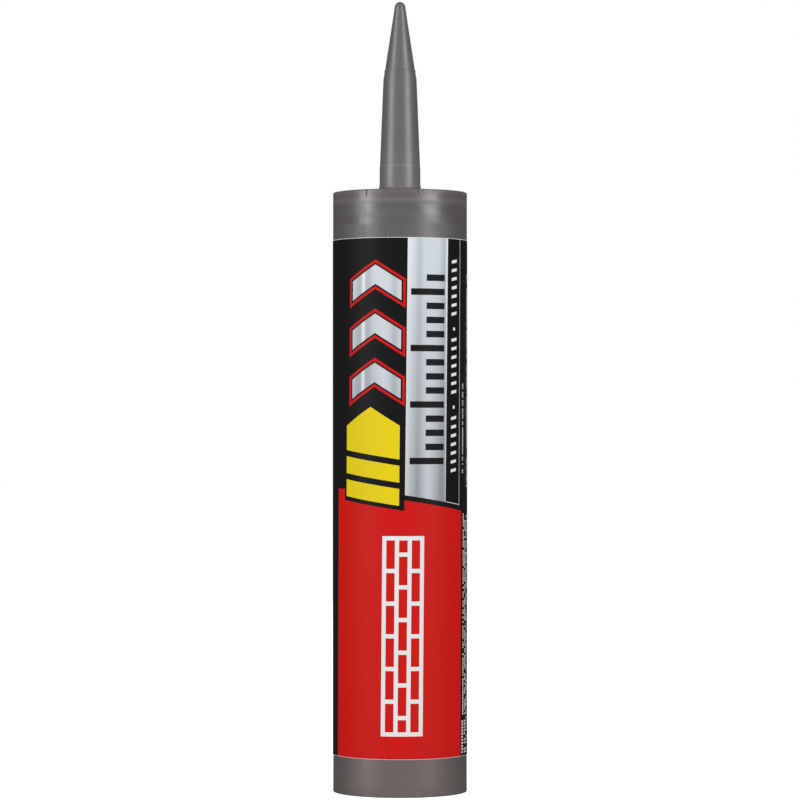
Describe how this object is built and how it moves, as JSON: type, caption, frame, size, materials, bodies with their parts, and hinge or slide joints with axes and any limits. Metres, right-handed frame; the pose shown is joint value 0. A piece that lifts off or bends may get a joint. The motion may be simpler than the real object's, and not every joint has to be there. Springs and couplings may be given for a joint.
{
  "type": "construction adhesive cartridge",
  "caption": "Round cartridge of construction adhesive with a closed taper nozzle, ribbed shoulder, wrap label and a sliding rear piston.",
  "frame": {"origin": "centre of the barrel's axis at the plane of the open rear rim, on which the cartridge stands", "axes": "+Z along the axis from the rear rim to the nozzle's tip; -Y is the middle of the label's front; +X is to the right of someone who faces the label"},
  "size_m": [0.0486, 0.0486, 0.2847],
  "materials": {
    "grey_hdpe": "moulded satin polyethylene, slightly translucent at the thin rim",
    "natural_hdpe": "moulded natural polyethylene",
    "paste": "thick smooth paste",
    "foil": "rolled foil",
    "white_film": "thin white label film",
    "black_ink": "printed, semi-gloss varnish",
    "red_ink": "printed, semi-gloss varnish",
    "silver_ink": "printed metallic silver",
    "yellow_ink": "printed, semi-gloss varnish",
    "white_ink": "printed, semi-gloss varnish"
  },
  "bodies": {
    "cartridge": {"cartridge": "grey_hdpe", "adhesive": "paste", "inner_seal": "foil", "label_film": "white_film", "ink_black": "black_ink", "ink_red": "red_ink", "ink_silver": "silver_ink", "ink_yellow": "yellow_ink", "ink_white": "white_ink"},
    "piston": {"piston": "natural_hdpe"}
  },
  "joints": [
    {"name": "piston_slide", "type": "slide", "parent": "cartridge", "child": "piston", "axis": [0, 0, 1], "range_m": [0, 0.158], "deforming": ["adhesive"]}
  ]
}
